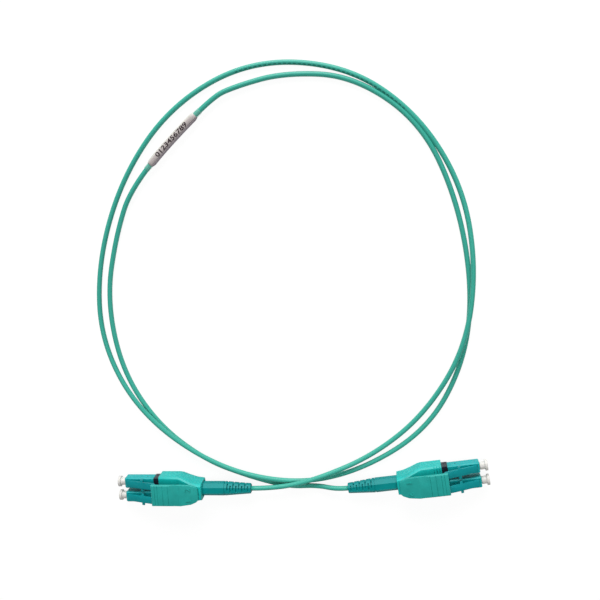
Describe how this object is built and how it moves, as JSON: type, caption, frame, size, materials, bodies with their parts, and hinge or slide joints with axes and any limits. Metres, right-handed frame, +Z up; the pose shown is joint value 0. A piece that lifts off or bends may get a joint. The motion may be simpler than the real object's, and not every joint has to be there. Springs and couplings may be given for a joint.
{
  "type": "fiber optic patch cord",
  "caption": "Coiled round aqua cable with a square-plug duplex fiber connector at each end: latches, press trigger, sliding shell, ribbed boot, dust caps.",
  "frame": {"origin": "centre of the bottom face of the box round the two connectors, on the surface that they lie on", "axes": "+Z up from the surface, +X from the left connector to the right one, +Y away from them over the coil"},
  "size_m": [0.1623, 0.1819, 0.0121],
  "materials": {
    "plug_teal": "moulded",
    "latch_teal": "moulded",
    "shell_aqua": "moulded",
    "trigger_aqua": "moulded",
    "boot_teal": "moulded",
    "frame_black": "moulded",
    "cap_clear": "moulded",
    "ceramic_white": "moulded",
    "nickel_flange": "plain",
    "spring_steel": "plain",
    "seat_white": "moulded",
    "crimp_metal": "plain",
    "fibre_buffer_a": "moulded",
    "fibre_buffer_b": "moulded",
    "cable_aqua": "moulded",
    "clear_sleeve": "moulded",
    "label_white": "moulded"
  },
  "bodies": {
    "cord_assembly": {"left_plug_housing_a": "plug_teal", "left_ferrule_spring_a": "spring_steel", "left_spring_seat_a": "seat_white", "left_fibre_leg_a": "fibre_buffer_a", "left_plug_housing_b": "plug_teal", "left_ferrule_spring_b": "spring_steel", "left_spring_seat_b": "seat_white", "left_fibre_leg_b": "fibre_buffer_b", "left_frame_base": "frame_black", "left_frame_cover": "frame_black", "left_crimp_ring": "crimp_metal", "left_bend_boot": "boot_teal", "left_cable_end": "cable_aqua", "right_plug_housing_a": "plug_teal", "right_ferrule_spring_a": "spring_steel", "right_spring_seat_a": "seat_white", "right_fibre_leg_a": "fibre_buffer_a", "right_plug_housing_b": "plug_teal", "right_ferrule_spring_b": "spring_steel", "right_spring_seat_b": "seat_white", "right_fibre_leg_b": "fibre_buffer_b", "right_frame_base": "frame_black", "right_frame_cover": "frame_black", "right_crimp_ring": "crimp_metal", "right_bend_boot": "boot_teal", "right_cable_end": "cable_aqua", "cord_first_half_turn": "cable_aqua", "cord_second_half_turn": "cable_aqua", "cord_third_half_turn": "cable_aqua", "cord_last_half_turn": "cable_aqua", "label_sleeve": "clear_sleeve", "label": "label_white"},
    "left_cap_a": {"left_dust_cap_a": "cap_clear"},
    "left_ferrule_unit_a": {"left_ferrule_a": "ceramic_white", "left_ferrule_flange_a": "nickel_flange"},
    "left_latch_arm_a": {"left_latch_a": "latch_teal"},
    "left_cap_b": {"left_dust_cap_b": "cap_clear"},
    "left_ferrule_unit_b": {"left_ferrule_b": "ceramic_white", "left_ferrule_flange_b": "nickel_flange"},
    "left_latch_arm_b": {"left_latch_b": "latch_teal"},
    "left_shell": {"left_outer_shell": "shell_aqua"},
    "left_trigger": {"left_press_trigger": "trigger_aqua"},
    "right_cap_a": {"right_dust_cap_a": "cap_clear"},
    "right_ferrule_unit_a": {"right_ferrule_a": "ceramic_white", "right_ferrule_flange_a": "nickel_flange"},
    "right_latch_arm_a": {"right_latch_a": "latch_teal"},
    "right_cap_b": {"right_dust_cap_b": "cap_clear"},
    "right_ferrule_unit_b": {"right_ferrule_b": "ceramic_white", "right_ferrule_flange_b": "nickel_flange"},
    "right_latch_arm_b": {"right_latch_b": "latch_teal"},
    "right_shell": {"right_outer_shell": "shell_aqua"},
    "right_trigger": {"right_press_trigger": "trigger_aqua"}
  },
  "joints": [
    {"name": "left_dust_cap_a_pull", "type": "slide", "parent": "cord_assembly", "child": "left_cap_a", "axis": [-0.9988, -0.0497, 0], "range_m": [0, 0.01]},
    {"name": "left_ferrule_a_press", "type": "slide", "parent": "cord_assembly", "child": "left_ferrule_unit_a", "axis": [0.9988, 0.0497, 0], "range_m": [0, 0.001], "stiffness_N_per_m": 1500, "springref_m": -0.004, "deforming": ["left_ferrule_spring_a"]},
    {"name": "left_latch_a_flex", "type": "hinge", "parent": "cord_assembly", "child": "left_latch_arm_a", "pos_m": [-0.07291, -0.01046, 0.0065], "axis": [0.0497, -0.9988, 0], "range_deg": [-7, 0]},
    {"name": "left_dust_cap_b_pull", "type": "slide", "parent": "cord_assembly", "child": "left_cap_b", "axis": [-0.9988, -0.0497, 0], "range_m": [0, 0.01]},
    {"name": "left_ferrule_b_press", "type": "slide", "parent": "cord_assembly", "child": "left_ferrule_unit_b", "axis": [0.9988, 0.0497, 0], "range_m": [0, 0.001], "stiffness_N_per_m": 1500, "springref_m": -0.004, "deforming": ["left_ferrule_spring_b"]},
    {"name": "left_latch_b_flex", "type": "hinge", "parent": "cord_assembly", "child": "left_latch_arm_b", "pos_m": [-0.07322, -0.00422, 0.0065], "axis": [0.0497, -0.9988, 0], "range_deg": [-7, 0]},
    {"name": "left_shell_slide", "type": "slide", "parent": "cord_assembly", "child": "left_shell", "axis": [0.9988, 0.0497, 0], "range_m": [0, 0.0075]},
    {"name": "left_trigger_press", "type": "hinge", "parent": "left_shell", "child": "left_trigger", "pos_m": [-0.04245, -0.00582, 0.0092], "axis": [0.0497, -0.9988, 0], "range_deg": [0, 5], "stiffness_Nm_per_rad": 1.2, "springref_deg": -1.72},
    {"name": "right_dust_cap_a_pull", "type": "slide", "parent": "cord_assembly", "child": "right_cap_a", "axis": [0.9847, 0.1745, 0], "range_m": [0, 0.01]},
    {"name": "right_ferrule_a_press", "type": "slide", "parent": "cord_assembly", "child": "right_ferrule_unit_a", "axis": [-0.9847, -0.1745, 0], "range_m": [0, 0.001], "stiffness_N_per_m": 1500, "springref_m": -0.004, "deforming": ["right_ferrule_spring_a"]},
    {"name": "right_latch_a_flex", "type": "hinge", "parent": "cord_assembly", "child": "right_latch_arm_a", "pos_m": [0.07192, 0.00987, 0.0065], "axis": [-0.1745, 0.9847, 0], "range_deg": [-7, 0]},
    {"name": "right_dust_cap_b_pull", "type": "slide", "parent": "cord_assembly", "child": "right_cap_b", "axis": [0.9847, 0.1745, 0], "range_m": [0, 0.01]},
    {"name": "right_ferrule_b_press", "type": "slide", "parent": "cord_assembly", "child": "right_ferrule_unit_b", "axis": [-0.9847, -0.1745, 0], "range_m": [0, 0.001], "stiffness_N_per_m": 1500, "springref_m": -0.004, "deforming": ["right_ferrule_spring_b"]},
    {"name": "right_latch_b_flex", "type": "hinge", "parent": "cord_assembly", "child": "right_latch_arm_b", "pos_m": [0.07301, 0.00372, 0.0065], "axis": [-0.1745, 0.9847, 0], "range_deg": [-7, 0]},
    {"name": "right_shell_slide", "type": "slide", "parent": "cord_assembly", "child": "right_shell", "axis": [-0.9847, -0.1745, 0], "range_m": [0, 0.0075]},
    {"name": "right_trigger_press", "type": "hinge", "parent": "right_shell", "child": "right_trigger", "pos_m": [0.04228, 0.00145, 0.0092], "axis": [-0.1745, 0.9847, 0], "range_deg": [0, 5], "stiffness_Nm_per_rad": 1.2, "springref_deg": -1.72}
  ],
  "couplings": [
    {"joint": "left_latch_a_flex", "follows": "left_trigger_press", "ratio": -1.4},
    {"joint": "left_latch_b_flex", "follows": "left_trigger_press", "ratio": -1.4},
    {"joint": "right_latch_a_flex", "follows": "right_trigger_press", "ratio": -1.4},
    {"joint": "right_latch_b_flex", "follows": "right_trigger_press", "ratio": -1.4}
  ]
}
